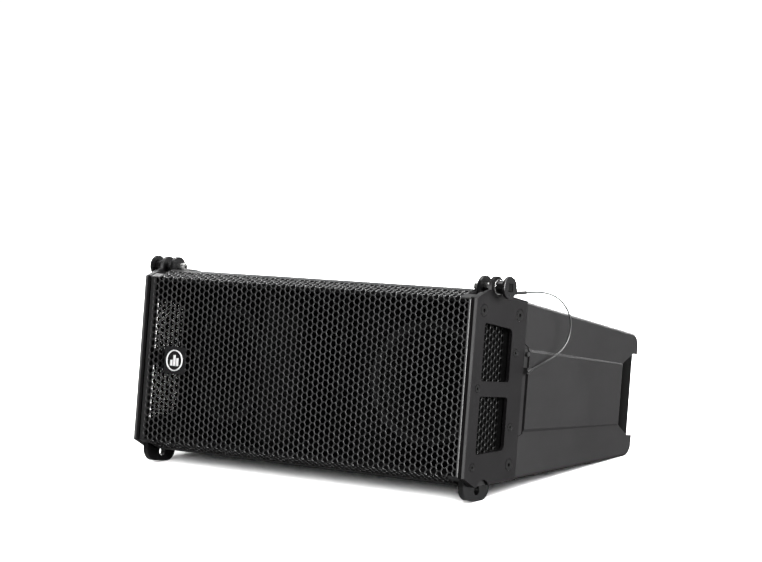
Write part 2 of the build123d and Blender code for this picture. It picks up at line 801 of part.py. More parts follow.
def woofer_motor(plane):
    """Front plate, ring magnet and back plate with its pole, bonded together."""
    with BuildPart() as motor:
        add(turned(plane, [(20.7, -54), (42, -54), (42, -60), (20.7, -60)]))
        add(turned(plane, [(30, -60), (46, -60), (46, -76), (30, -76)]))
        add(turned(plane, [(6, -54), (17.9, -54), (17.9, -76), (44, -76), (44, -83), (6, -83)]))
    return motor.part


cap_radius = 26.4
cap_rise = 10.2
cap_thickness = 0.8


def woofer_dust_cap(plane):
    """The domed cap over the voice coil, part of a sphere."""
    side_view = Plane(origin=plane.origin, x_dir=plane.x_dir, z_dir=-plane.y_dir)
    ball = (cap_radius**2 + cap_rise**2) / (2 * cap_rise)
    spread = math.degrees(math.asin(cap_radius / ball))
    centre = (0, -16 - ball)
    with BuildPart() as cap:
        with BuildSketch(side_view):
            with BuildLine():
                outer = CenterArc(centre, ball, 90, -spread)
                inner = CenterArc(centre, ball - cap_thickness, 90, -spread)
                Line(outer @ 1, inner @ 1)
                Line(outer @ 0, inner @ 0)
            make_face()
        revolve(axis=Axis(plane.origin, plane.z_dir))
    return cap.part


def woofer_surround(plane):
    """The half-roll rubber surround between the cone's rim and the basket's flange."""
    side_view = Plane(origin=plane.origin, x_dir=plane.x_dir, z_dir=-plane.y_dir)
    with BuildPart() as surround:
        with BuildSketch(side_view):
            with BuildLine():
                Polyline((55.5, 3.1), (59, 3.1))
                ThreePointArc((59, 3.1), (63.5, 8.2), (67, 4.1))
                Polyline((67, 4.1), (71, 4.1), (71, 5.0), (67.8, 5.0))
                ThreePointArc((67.8, 5.0), (63.5, 9.1), (58.2, 4.0))
                Polyline((58.2, 4.0), (55.5, 4.0), (55.5, 3.1))
            make_face()
        revolve(axis=Axis(plane.origin, plane.z_dir))
    return surround.part


def woofer_spider(plane):
    """The corrugated disc that centres the voice coil."""
    rings = 6
    inner = 20.1
    outer = 43.4
    step = (outer - inner) / (2 * rings)
    crest = [(inner + step * n, -44.6 + (0.9 if n % 2 else 0.0)) for n in range(2 * rings + 1)]
    crest[-1] = (outer, -44.5)
    top = [(radius, height + 0.6) for radius, height in reversed(crest)]
    return turned(plane, crest + top)


cone_outline = [
    (59, 3),
    (59, 2.2),
    (55.3, 2.2),
    (20.3, -34.8),
    (19.7, -34.8),
    (19.7, -33.3),
    (54.7, 3),
]
coil_outline = [(18.9, -66), (19.7, -66), (19.7, -30), (18.9, -30)]

for side, name in ((1, "right"), (-1, "left")):
    face = woofer_plane(side)
    keep(woofer_basket(face), f"woofer_basket_{name}")
    keep(woofer_motor(face), f"woofer_motor_{name}")
    keep(turned(face, cone_outline), f"woofer_cone_{name}")
    keep(woofer_dust_cap(face), f"woofer_dust_cap_{name}")
    keep(turned(face, coil_outline), f"woofer_voice_coil_{name}")
    keep(woofer_surround(face), f"woofer_surround_{name}")
    keep(woofer_spider(face), f"woofer_spider_{name}")

with BuildPart() as woofer_screws:
    for side in (1, -1):
        seat = woofer_plane(side).offset(4)
        with Locations(seat):
            with PolarLocations(woofer_screw_circle, woofer_screw_count, start_angle=30):
                Cylinder(2.0, 14, align=(Align.CENTER, Align.CENTER, Align.MAX))
                Cylinder(3.6, 2.2, align=(Align.CENTER, Align.CENTER, Align.MIN))
                with Locations((0, 0, 2.2)):
                    Cylinder(1.4, 1.2, align=(Align.CENTER, Align.CENTER, Align.MAX), mode=Mode.SUBTRACT)
keep(woofer_screws.part, "woofer_screws")

horn_mouth = 10.0
slot_depth = 72.0
throat_depth = 150.0
throat_radius = 12.7
slot_half_width = 9.0
mouth_half_width = 68.0
mouth_half_height = 100.0
slot_half_height = 88.0
horn_wall = 3.0


def facing_front(depth):
    """A plane across the horn, facing forwards."""
    return Plane(origin=(0, depth, 0), x_dir=(1, 0, 0), z_dir=(0, -1, 0))


def horn_solid(extra, reach):
    """The flare and the phasing chamber behind it, grown by a wall and lengthened at its ends."""
    with BuildPart() as horn:
        with BuildSketch(facing_front(horn_mouth - reach)):
            Rectangle(2 * (mouth_half_width + extra), 2 * (mouth_half_height + extra))
        with BuildSketch(facing_front(slot_depth)):
            Rectangle(2 * (slot_half_width + extra), 2 * (slot_half_height + extra))
        loft(ruled=True)
        throat = 2 * (throat_radius * 0.7 + extra)
        with BuildSketch(facing_front(slot_depth)):
            Rectangle(2 * (slot_half_width + extra), 2 * (slot_half_height + extra))
        with BuildSketch(facing_front(throat_depth + reach)):
            Rectangle(throat, throat)
        loft(ruled=True)
    return horn.part


with BuildPart() as waveguide:
    add(horn_solid(horn_wall, 0))
    block((-76, 76), (baffle_front - 5, baffle_front), (-104, 104))
    with BuildSketch(facing_front(throat_depth)):
        Circle(32)
    extrude(amount=8)
    add(horn_solid(0, 0.5), mode=Mode.SUBTRACT)
keep(waveguide.part, "waveguide")

driver_radius = 43.0
driver_length = 46.0
with BuildPart() as compression_driver:
    with BuildSketch(facing_front(throat_depth)):
        Circle(driver_radius)
    extrude(amount=-driver_length)
    fillet(compression_driver.faces().sort_by(Axis.Y)[-1].edges(), 5)
    with BuildSketch(facing_front(throat_depth)):
        Circle(throat_radius)
    extrude(amount=-14, mode=Mode.SUBTRACT)
    with BuildSketch(facing_front(throat_depth + 14)):
        Circle(26)
    extrude(amount=-14, mode=Mode.SUBTRACT)
keep(compression_driver.part, "compression_driver")

dome_radius = 22.0
dome_rise = 10.0
dome_top = throat_depth + 26.0
with BuildPart() as driver_diaphragm:
    ball = (dome_radius**2 + dome_rise**2) / (2 * dome_rise)
    spread = math.degrees(math.asin(dome_radius / ball))
    centre = (dome_top - ball, 0)
    rim = dome_top - dome_rise
    with BuildSketch(Plane.YZ):
        with BuildLine():
            outer = CenterArc(centre, ball, 0, spread)
            inner = CenterArc(centre, ball - 0.5, 0, spread)
            Line(outer @ 0, inner @ 0)
            Line(outer @ 1, inner @ 1)
        make_face()
        with Locations((rim, (dome_radius + 25.8) / 2)):
            Rectangle(0.5, 25.8 - dome_radius + 0.4)
    revolve(axis=Axis((0, 0, 0), (0, 1, 0)))
keep(driver_diaphragm.part, "driver_diaphragm")


# Rear panels, electronics and controls -----------------------------------------------------------

panel_thickness = 3.0
panel_gap = 0.5
panel_face = panel_seat + panel_thickness
socket_columns = (-158.0, -120.0)
socket_rows = (26.0, -26.0)
socket_hole = 12.0
control_x = -74.0
knob_z = 30.0
button_z = 0.0
board_front = 376.0
board_thickness = 1.6
board_rear = board_front + board_thickness
board_parts_rear = 386.0  # backs of the potentiometer and the push switch


def on_panel(x, z, depth=panel_face):
    """A plane on the rear panel, facing backwards."""
    return Plane(origin=(x, depth, z), x_dir=(-1, 0, 0), z_dir=(0, 1, 0))


with BuildPart() as connector_plate:
    wide = (-panel_outer_x + panel_gap, -panel_inner_x - panel_gap)
    high = panel_half_height - panel_gap
    block(wide, (panel_seat, panel_face), (-high, high))
    fillet(connector_plate.edges().filter_by(Axis.Y), 2)
    holes = [(on_panel(x, z), socket_hole) for x in socket_columns for z in socket_rows]
    holes += [(on_panel(control_x, knob_z), 3.6), (on_panel(control_x, button_z), 3.6)]
    holes += [(on_panel(-x, z), 2.1) for x in panel_screw_x for z in (-panel_screw_z, panel_screw_z)]
    for flat, radius in holes:
        with Locations(flat):
            Hole(radius, depth=panel_thickness)
keep(connector_plate.part, "connector_plate")

fin_pitch = 8.0
fin_thickness = 2.2
with BuildPart() as heat_sink:
    wide = (panel_inner_x + panel_gap, panel_outer_x - panel_gap)
    block(wide, (panel_seat, panel_face + 1), (-high, high))
    fin_first = panel_inner_x + 12
    fin_count = int((panel_outer_x - 12 - fin_first) / fin_pitch) + 1
    for number in range(fin_count):
        left = fin_first + number * fin_pitch
        block((left, left + fin_thickness), (panel_face, box_depth - 0.6), (-high + 2, high - 2))
    # The inner pad that carries the power stage
    block((60, 166), (panel_seat - 12, panel_seat), (-45, 45))
    for x in panel_screw_x:
        for z in (-panel_screw_z, panel_screw_z):
            with Locations(on_panel(x, z, panel_face + 1)):
                Hole(2.1, depth=panel_thickness + 1)
keep(heat_sink.part, "heat_sink")

with BuildPart() as panel_screws:
    for x in panel_screw_x:
        for z in (-panel_screw_z, panel_screw_z):
            for flat in (on_panel(-x, z), on_panel(x, z, panel_face + 1)):
                with Locations(flat):
                    Cylinder(2.0, 8, align=(Align.CENTER, Align.CENTER, Align.MAX))
                    Cylinder(3.5, 2.0, align=(Align.CENTER, Align.CENTER, Align.MIN))
                with BuildSketch(flat.offset(2)):
                    RegularPolygon(1.6, 6)
                extrude(amount=-1.2, mode=Mode.SUBTRACT)
keep(panel_screws.part, "panel_screws")

socket_flange = (26.0, 31.0)


def socket_group(row_z, cavity, key_way):
    """Two round panel sockets with square flanges, side by side on the connector plate."""
    with BuildPart() as sockets:
        for x in socket_columns:
            with BuildSketch(on_panel(x, row_z)):
                RectangleRounded(*socket_flange, 2)
            extrude(amount=2)
            with BuildSketch(on_panel(x, row_z)):
                Circle(socket_hole - 0.2)
            extrude(amount=-(panel_face - board_rear))
            with BuildSketch(on_panel(x, row_z, panel_face + 2)):
                Circle(cavity)
            extrude(amount=-17, mode=Mode.SUBTRACT)
            with BuildSketch(on_panel(x, row_z, panel_face + 2)):
                with Locations((0, cavity)):
                    Rectangle(key_way, 2.4)
            extrude(amount=-15, mode=Mode.SUBTRACT)
    return sockets.part


keep(socket_group(socket_rows[0], 9.4, 4.0), "signal_sockets")
keep(socket_group(socket_rows[1], 10.2, 7.0), "power_sockets")

knob_radius = 8.0
knob_start = panel_face + 0.4
with BuildPart() as level_knob:
    flat = on_panel(control_x, knob_z, knob_start)
    with Locations(flat):
        Cylinder(knob_radius, 7.6, align=(Align.CENTER, Align.CENTER, Align.MIN))
        Cylinder(3.0, knob_start - board_parts_rear - 0.3, align=(Align.CENTER, Align.CENTER, Align.MAX))
    fillet(level_knob.faces().sort_by(Axis.Y)[-1].edges(), 0.8)
    with BuildSketch(flat.offset(7.6)):
        with Locations((0, 4.4)):
            Rectangle(1.2, 6)
    extrude(amount=-0.8, mode=Mode.SUBTRACT)
keep(level_knob.part, "level_knob")

preset_travel = 1.5
with BuildPart() as preset_button:
    reach = panel_face + 3 - board_parts_rear - preset_travel - 0.2
    with Locations(on_panel(control_x, button_z, panel_face + 3)):
        Cylinder(3.5, reach, align=(Align.CENTER, Align.CENTER, Align.MAX))
    fillet(preset_button.faces().sort_by(Axis.Y)[-1].edges(), 0.5)
keep(preset_button.part, "preset_button")

with BuildPart() as circuit_board:
    block((-182, -44), (board_front, board_rear), (-58, 58))
    # Tall parts on the inner face: reservoir capacitors, a transformer and a heat plate
    for x in (-165, -139):
        for z in (-36, -8, 20):
            with Locations(Plane(origin=(x, board_front, z), z_dir=(0, -1, 0))):
                Cylinder(11, 30, align=(Align.CENTER, Align.CENTER, Align.MIN))
    block((-118, -62), (board_front - 38, board_front), (-44, 10))
    block((-112, -68), (board_front - 14, board_front), (22, 30))
    # The level control and the push switch, under their knob and button
    block((control_x - 8, control_x + 8), (board_rear, board_parts_rear), (knob_z - 8, knob_z + 8))
    block((control_x - 4, control_x + 4), (board_rear, board_parts_rear), (button_z - 4, button_z + 4))
    # Pillars hold it off the connector plate
    for x in (-176, -50):
        for z in (-50, 50):
            with Locations(Plane(origin=(x, board_rear, z), z_dir=(0, 1, 0))):
                Cylinder(3, panel_seat - board_rear, align=(Align.CENTER, Align.CENTER, Align.MIN))
keep(circuit_board.part, "circuit_board")


# Rear rigging and grips ----------------------------------------------------------------------------

bracket_half = channel_half - fit_gap
flange_thickness = 4.0
bracket_rear_edge = box_depth - 2
bracket_half_height = 72.0
link_depth = 393.0
link_pivot_height = 58.0
link_length = 112.0
link_half_width = 12.0
link_half_thickness = 10.0
link_bore = 6.15

with BuildPart() as rear_bracket:
    web = (channel_front + fit_gap, channel_front + fit_gap + flange_thickness)
    tall = (-bracket_half_height, bracket_half_height)
    block((-bracket_half, bracket_half), web, tall)
    flange = (bracket_half - flange_thickness, bracket_half)
    both_sides(flange, (web[0], bracket_rear_edge), tall)
    with Locations(Location((0, link_depth, link_pivot_height), (0, 90, 0))):
        Cylinder(pin_radius + 0.02, 80, mode=Mode.SUBTRACT)
    with Locations(Location((0, link_depth, link_pivot_height - link_length), (0, 90, 0))):
        Cylinder(pin_bore, 80, mode=Mode.SUBTRACT)
keep(rear_bracket.part, "rear_bracket")

with BuildPart() as rear_link:
    with BuildSketch(Plane.YZ.offset(-link_half_thickness)):
        with Locations((link_depth, link_pivot_height - link_length / 2)):
            SlotCenterToCenter(link_length, 2 * link_half_width, rotation=90)
        with Locations((link_depth, link_pivot_height)):
            Circle(pin_bore, mode=Mode.SUBTRACT)
        with Locations((link_depth, link_pivot_height - link_length)):
            Circle(link_bore, mode=Mode.SUBTRACT)
    extrude(amount=2 * link_half_thickness)
keep(rear_link.part, "rear_link")

with BuildPart() as link_pivot:
    with Locations(Location((0, link_depth, link_pivot_height), (0, 90, 0))):
        Cylinder(pin_radius, 2 * bracket_half)
    # Collars keep the link in the middle of the bracket
    collar_length = bracket_half - flange_thickness - link_half_thickness - 0.3
    for side in (1, -1):
        centre = side * (link_half_thickness + 0.15 + collar_length / 2)
        with Locations(Location((centre, link_depth, link_pivot_height), (0, 90, 0))):
            Cylinder(9, collar_length)
keep(link_pivot.part, "link_pivot")

with BuildPart() as hand_grips:
    for side in (1, -1):
        with Locations((side * grip_x, grip_depth, 0)):
            Cylinder(grip_radius, 2 * grip_recess_half)
keep(hand_grips.part, "hand_grips")


# The resting place --------------------------------------------------------------------------------

# The box leans back on the lugs' rear corners and the rear bottom edge: the floor is the line
# below both round corners in the side view.
lug_corner_at = (lug_rear - lug_corner, -lug_bottom + lug_corner)
rear_corner_height = -half_height(box_depth - edge_radius) + edge_radius * math.hypot(1, taper)
rear_corner_at = (box_depth - edge_radius, rear_corner_height)
run = rear_corner_at[0] - lug_corner_at[0]
rise = rear_corner_at[1] - lug_corner_at[1]
lean = math.degrees(
    math.atan2(rise, run) + math.asin((lug_corner - edge_radius) / math.hypot(run, rise))
)

leaning = Location((0, 0, 0), (-lean, 0, 0))
on_cord = ("lanyard_cable", "lanyard_sleeve")
solid_pieces = [leaning * piece for name, piece in pieces.items() if not name.startswith(on_cord)]
extent = Compound(children=solid_pieces).bounding_box()
centre_depth = (extent.min.Y + extent.max.Y) / 2
resting = Location((0, -centre_depth, -extent.min.Z)) * leaning
print("lean", round(lean, 4), "shift", round(-centre_depth, 4), round(-extent.min.Z, 4))

os.makedirs("parts", exist_ok=True)
for name, piece in pieces.items():
    placed = resting * piece
    placed.label = name
    export_step(placed, f"parts/{name}.step")
print(len(pieces), "nodes, size", [round(v, 1) for v in extent.size])
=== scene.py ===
import json
import math

import bmesh
import bpy
from mathutils import Matrix, Vector


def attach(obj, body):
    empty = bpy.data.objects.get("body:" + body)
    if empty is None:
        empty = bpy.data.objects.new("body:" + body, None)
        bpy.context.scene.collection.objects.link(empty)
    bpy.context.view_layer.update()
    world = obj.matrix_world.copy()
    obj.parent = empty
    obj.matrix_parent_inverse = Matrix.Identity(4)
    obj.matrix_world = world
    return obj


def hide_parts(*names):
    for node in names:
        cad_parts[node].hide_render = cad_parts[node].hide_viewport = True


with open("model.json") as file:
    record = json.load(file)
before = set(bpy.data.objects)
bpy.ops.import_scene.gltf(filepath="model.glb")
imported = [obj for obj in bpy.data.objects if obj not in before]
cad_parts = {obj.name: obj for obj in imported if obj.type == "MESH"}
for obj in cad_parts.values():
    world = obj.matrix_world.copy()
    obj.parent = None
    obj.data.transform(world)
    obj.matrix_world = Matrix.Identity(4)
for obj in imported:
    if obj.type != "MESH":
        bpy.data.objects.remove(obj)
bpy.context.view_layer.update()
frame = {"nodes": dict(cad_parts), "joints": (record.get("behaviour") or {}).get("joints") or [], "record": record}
nodes = frame["nodes"]
joints = {joint["name"]: joint for joint in frame["joints"]}

# The box leans back as it rests. Its own frame (X right, Y back, Z up, mid-plane at Z = 0) is
# read from two joints: the level knob turns about its Y, and the link's hinge stands at a known
# place in it. Except for the floor and the lights, lengths below are millimetres in that frame.
MM = 0.001
HINGE_BACK = 393
HINGE_UP = 58
RIGHT = Vector((1, 0, 0))
BACK = Vector(joints["level_knob_turn"]["axis"]).normalized()
UP = RIGHT.cross(BACK)
ORIGIN = Vector(joints["link_arm_swing"]["pos_m"]) - BACK * HINGE_BACK * MM - UP * HINGE_UP * MM
PLACE = Matrix.Translation(ORIGIN) @ Matrix((RIGHT, BACK, UP)).transposed().to_4x4()
SIDES = ((1, "right"), (-1, "left"))


def at(x, y, z):
    """A point of the box's own frame, in millimetres, as a point of the row frame in metres."""
    return PLACE @ (Vector((x, y, z)) * MM)


# Camera ---------------------------------------------------------------------------------------
CAMERA_AT = (2033.33, -2559.75, 82.02)
AZIMUTH = math.radians(37.28926)
ELEVATION = math.radians(0.55678)
ROLL = math.radians(4.31255)
SENSOR_WIDTH = 36.0
FOCAL_LENGTH = 114.79
FRAMING_SHIFT = (0.0425, 0.0754)
CLIPPING = (0.05, 60)

camera_data = bpy.data.cameras.new("camera")
camera = bpy.data.objects.new("camera", camera_data)
bpy.context.scene.collection.objects.link(camera)
ahead = Vector((
    -math.sin(AZIMUTH) * math.cos(ELEVATION),
    math.cos(AZIMUTH) * math.cos(ELEVATION),
    -math.sin(ELEVATION),
))
level = Vector((math.cos(AZIMUTH), math.sin(AZIMUTH), 0))
above = level.cross(ahead)
across = math.cos(ROLL) * level + math.sin(ROLL) * above
upward = math.cos(ROLL) * above - math.sin(ROLL) * level
turned = PLACE.to_3x3() @ Matrix((across, upward, -ahead)).transposed()
camera.matrix_world = Matrix.Translation(at(*CAMERA_AT)) @ turned.to_4x4()
camera_data.sensor_width = SENSOR_WIDTH
camera_data.lens = FOCAL_LENGTH
camera_data.shift_x, camera_data.shift_y = FRAMING_SHIFT
camera_data.clip_start, camera_data.clip_end = CLIPPING
bpy.context.scene.camera = camera
bpy.context.scene.view_settings.view_transform = "Standard"


# Materials ------------------------------------------------------------------------------------
BLOTCH = 60
BLOTCH_DETAIL = 4
GRAIN_DETAIL = 3
NOISE_ROUGHNESS = 0.6
RAMP_ENDS = (0.3, 0.7)
PIT_SHARE = 0.8
GRAIN_HEIGHT = 0.3
ROUGHNESS_SPAN = 0.12
SMOOTHEST = 0.03
COAT_ROUGHNESS = 0.12

# A Mix node has sockets of the same name for each kind of data. These are the ones for colour.
MIX_FIRST = 6
MIX_SECOND = 7
MIX_RESULT = 2

# Where shade is painted into the shell's colour, so that its window cavities and its grip recesses look as deep in
# shadow as they are: how far out, from and to how far back, and how far off the middle, for each of them. The tone
# below is that painted shade.
WINDOW_CAVITIES = (279.7, (12, 95), 92)
GRIP_RECESSES = (284, (350, 420), 57.5)
PAINTED_SHADE_TONE = 0.0012


def grey(tone):
    return (tone, tone, tone)


def material(name, tone, rough, metal=0.0, grain=0.6, spread=0.25, coat=0.0, bump=0.2,
             specular=0.5, brushed=(1, 1, 1)):
    """A surface with soft blotches in its tone and roughness, and a fine grain in tone and height.

    tone is the linear colour, and grain is the size of the fine detail in millimetres. spread is
    how far the tone varies, and brushed stretches the grain along one direction."""
    made = bpy.data.materials.new(name)
    made.use_nodes = True
    tree = made.node_tree
    shader = tree.nodes["Principled BSDF"]
    shader.inputs["Metallic"].default_value = metal
    shader.inputs["Specular IOR Level"].default_value = specular
    shader.inputs["Coat Weight"].default_value = coat
    shader.inputs["Coat Roughness"].default_value = COAT_ROUGHNESS
    where = tree.nodes.new("ShaderNodeTexCoord")
    stretch = tree.nodes.new("ShaderNodeMapping")
    stretch.inputs["Scale"].default_value = brushed
    tree.links.new(where.outputs["Object"], stretch.inputs["Vector"])

    def noise(size, detail, source):
        node = tree.nodes.new("ShaderNodeTexNoise")
        node.inputs["Scale"].default_value = 1 / (size * MM)
        node.inputs["Detail"].default_value = detail
        node.inputs["Roughness"].default_value = NOISE_ROUGHNESS
        tree.links.new(source, node.inputs["Vector"])
        return node.outputs["Fac"]

    def ramp(source, low, high):
        node = tree.nodes.new("ShaderNodeValToRGB")
        for element, position, colour in zip(node.color_ramp.elements, RAMP_ENDS, (low, high)):
            element.position = position
            element.color = (*colour, 1)
        tree.links.new(source, node.inputs["Fac"])
        return node.outputs["Color"]

    fine = noise(grain, GRAIN_DETAIL, stretch.outputs["Vector"])
    broad = noise(BLOTCH, BLOTCH_DETAIL, where.outputs["Object"])
    low = [value * (1 - spread) for value in tone]
    high = [min(1, value * (1 + spread)) for value in tone]
    mixed = tree.nodes.new("ShaderNodeMix")
    mixed.data_type = "RGBA"
    mixed.blend_type = "MULTIPLY"
    mixed.inputs["Factor"].default_value = 1.0
    tree.links.new(ramp(broad, low, high), mixed.inputs[MIX_FIRST])
    tree.links.new(ramp(fine, grey(1 - spread * PIT_SHARE), grey(1)), mixed.inputs[MIX_SECOND])
    tree.links.new(mixed.outputs[MIX_RESULT], shader.inputs["Base Color"])
    rough_range = tree.nodes.new("ShaderNodeMapRange")
    rough_range.inputs["To Min"].default_value = max(SMOOTHEST, rough - ROUGHNESS_SPAN)
    rough_range.inputs["To Max"].default_value = min(1, rough + ROUGHNESS_SPAN)
    tree.links.new(broad, rough_range.inputs["Value"])
    tree.links.new(rough_range.outputs["Result"], shader.inputs["Roughness"])
    relief = tree.nodes.new("ShaderNodeBump")
    relief.inputs["Strength"].default_value = bump
    relief.inputs["Distance"].default_value = GRAIN_HEIGHT * grain * MM
    tree.links.new(fine, relief.inputs["Height"])
    tree.links.new(relief.outputs["Normal"], shader.inputs["Normal"])
    return made


def paint_shade_inside(look):
    """Paints shade into the shell's colour in its window cavities and grip recesses, darker than the lamps alone
    make them.
    """
    tree = look.node_tree
    shader = tree.nodes["Principled BSDF"]
    where = tree.nodes.new("ShaderNodeTexCoord").outputs["Object"]

    def number(operation, first, second=0):
        node = tree.nodes.new("ShaderNodeMath")
        node.operation = operation
        for socket, value in zip(node.inputs, (first, second)):
            if isinstance(value, (int, float)):
                socket.default_value = value
            else:
                tree.links.new(value, socket)
        return node.outputs["Value"]

    def along(axis):
        node = tree.nodes.new("ShaderNodeVectorMath")
        node.operation = "DOT_PRODUCT"
        node.inputs[1].default_value = axis
        tree.links.new(where, node.inputs[0])
        return number("SUBTRACT", node.outputs["Value"], ORIGIN.dot(axis))

    outward = number("ABSOLUTE", along(RIGHT))
    back = along(BACK)
    off_middle = number("ABSOLUTE", along(UP))

    def inside(reach, depths, half):
        """1 within the space, and 0 outside it."""
        tests = [
            number("LESS_THAN", outward, reach * MM),
            number("GREATER_THAN", back, depths[0] * MM),
            number("LESS_THAN", back, depths[1] * MM),
            number("LESS_THAN", off_middle, half * MM),
        ]
        product = tests[0]
        for test in tests[1:]:
            product = number("MULTIPLY", product, test)
        return product

    # 1 where shade is painted into the shell's colour, 0 elsewhere
    painted_shade = number("MAXIMUM", inside(*WINDOW_CAVITIES), inside(*GRIP_RECESSES))
    darker = tree.nodes.new("ShaderNodeMix")
    darker.data_type = "RGBA"
    tree.links.new(painted_shade, darker.inputs["Factor"])
    painted = shader.inputs["Base Color"].links[0].from_socket
    tree.links.new(painted, darker.inputs[MIX_FIRST])
    # the painted shade's tone
    darker.inputs[MIX_SECOND].default_value = (*grey(PAINTED_SHADE_TONE), 1)
    tree.links.new(darker.outputs[MIX_RESULT], shader.inputs["Base Color"])


LOOKS = {
    # Shell, sheet steel and castings
    "shell_paint": dict(tone=(0.004, 0.0038, 0.004), rough=0.6, grain=1.1, bump=0.55,
                        specular=0.2, spread=0.06),
    "baffle_paint": dict(tone=grey(0.003), rough=0.85, grain=0.8, specular=0.1),
    "grille_steel": dict(tone=(0.0125, 0.0125, 0.0126), rough=0.42, grain=0.5, bump=0.06,
                         specular=0.16, spread=0.1),
    "plate_steel": dict(tone=(0.0026, 0.0024, 0.0026), rough=0.5, grain=0.8, bump=0.45,
                        specular=0.14, spread=0.06),
    "mesh_steel": dict(tone=grey(0.003), rough=0.3, grain=0.5, bump=0.06, specular=0.16),
    "cast_black": dict(tone=(0.01, 0.01, 0.0105), rough=0.5, grain=0.9, bump=0.4, specular=0.3),
    "panel_black": dict(tone=(0.02, 0.02, 0.021), rough=0.4, metal=0.5, grain=0.3,
                        brushed=(0.15, 1, 1)),
    # Pins, screws, springs and lanyards
    "rigging_black": dict(tone=(0.003, 0.003, 0.0032), rough=0.24, grain=0.5, specular=0.5),
    "button_black": dict(tone=grey(0.0012), rough=0.5, grain=0.4, specular=0.1),
    "black_screw": dict(tone=grey(0.004), rough=0.35, grain=0.3, specular=0.2),
    "bright_steel": dict(tone=(0.62, 0.62, 0.61), rough=0.24, metal=1.0, grain=0.25,
                         brushed=(0.2, 1, 1), spread=0.1),
    "spring_steel": dict(tone=grey(0.5), rough=0.3, metal=1.0, grain=0.2),
    "cable_steel": dict(tone=grey(0.008), rough=0.35, grain=0.3, coat=0.1),
    "crimp_metal": dict(tone=grey(0.06), rough=0.35, metal=0.9, grain=0.3, spread=0.15),
    # Badge
    "badge_black": dict(tone=(0.012, 0.012, 0.013), rough=0.12, grain=2, bump=0.02, coat=0.8),
    "badge_pale": dict(tone=grey(0.9), rough=0.4, grain=0.2, spread=0.05),
    # Woofers, waveguide and driver
    "ferrite": dict(tone=(0.05, 0.05, 0.055), rough=0.5, metal=0.3, grain=0.7),
    "cone_paper": dict(tone=grey(0.003), rough=0.8, grain=1.4, bump=0.7, specular=0.12),
    "coil_wire": dict(tone=(0.62, 0.3, 0.14), rough=0.3, metal=1.0, grain=0.3),
    "roll_rubber": dict(tone=grey(0.003), rough=0.65, grain=0.5, specular=0.15),
    "spider_cloth": dict(tone=(0.32, 0.2, 0.07), rough=0.85, grain=0.6, bump=0.8),
    "horn_plastic": dict(tone=grey(0.0015), rough=0.7, grain=0.6, specular=0.08),
    "dome_metal": dict(tone=(0.7, 0.7, 0.72), rough=0.25, metal=1.0, grain=0.2),
    # Electronics, grips and cloth
    "board_green": dict(tone=(0.01, 0.09, 0.035), rough=0.35, grain=0.4),
    "socket_black": dict(tone=(0.014, 0.014, 0.015), rough=0.38, grain=0.5, bump=0.1),
    "knob_black": dict(tone=grey(0.016), rough=0.4, grain=0.4),
    "grip_rubber": dict(tone=grey(0.0015), rough=0.9, grain=0.7, bump=0.6, specular=0.05),
    "dust_cloth": dict(tone=grey(0.0008), rough=0.95, grain=0.5, bump=0.8, specular=0.03),
}
looks = {name: material(name, **settings) for name, settings in LOOKS.items()}
# Painted shade in the shell's window cavities and grip recesses
paint_shade_inside(looks["shell_paint"])
slot_of = {part["node"]: part["material_slot"] for part in frame["record"]["subparts"]}
for name, item in nodes.items():
    look = looks["button_black" if name.startswith("pin_button") else slot_of[name]]
    if not item.data.materials:
        item.data.materials.append(look)
    for index in range(len(item.data.materials)):
        item.data.materials[index] = look


def wear(item, slot, look=None):
    """Gives a piece one look, its slot's own unless another is named."""
    item.data.materials.clear()
    item.data.materials.append(looks[look or slot])


def piece(name, mesh_maker, slot, look=None, replaced=()):
    """Makes a piece of the cabinet from a bmesh drawn in the box's own frame, in millimetres."""
    made = bmesh.new()
    mesh_maker(made)
    made.transform(PLACE @ Matrix.Scale(MM, 4))
    mesh = bpy.data.meshes.new(name)
    made.to_mesh(mesh)
    made.free()
    item = bpy.data.objects.new(name, mesh)
    bpy.context.scene.collection.objects.link(item)
    wear(item, slot, look)
    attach(item, "cabinet")
    if replaced:
        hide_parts(*replaced)
    return item


# Lanyards -------------------------------------------------------------------------------------
CABLE_RADIUS = 1.2
# From the sleeve at the right pin's head, over its loop, and down to the crimp in the pocket
ROUTE = [
    (302.5, 84, 128), (303, 101, 129.5), (304, 123, 130.5), (305, 146, 128.5),
    (306, 168, 121), (306.5, 186, 107.5), (306, 195, 90), (304, 194, 71),
    (301, 184, 56), (297, 167, 45), (293.5, 148, 36), (291.2, 129, 28.5),
]


def lanyard(side, word):
    """One side's lanyard cable; side is 1 on the right and -1 on the left."""
    line = bpy.data.curves.new(f"lanyard_{word}", "CURVE")
    line.dimensions = "3D"
    spline = line.splines.new("NURBS")
    spline.points.add(len(ROUTE) - 1)
    for point, (x, y, z) in zip(spline.points, ROUTE):
        point.co = (*at(side * x, y, z), 1)
    spline.order_u = 3
    spline.use_endpoint_u = True
    spline.resolution_u = 16
    line.bevel_depth = CABLE_RADIUS * MM
    line.bevel_resolution = 4
    line.use_fill_caps = True
    cable = bpy.data.objects.new(f"lanyard_{word}", line)
    bpy.context.scene.collection.objects.link(cable)
    wear(cable, "cable_steel")
    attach(cable, "cabinet")
    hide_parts(f"lanyard_cable_{word}")
    x, y, z = ROUTE[0]


for side, word in SIDES:
    lanyard(side, word)


# Perforated steel -----------------------------------------------------------------------------
PITCH = 9.77
HOLE = 8.0
SHEET = 1.5
HOLE_EDGE = 0.75
SHARP_EDGE = math.radians(50)
# Points closer than the first are joined. Over the second, a shape's directions are measured.
SAME_POINT = 0.01
NEARBY = 0.001


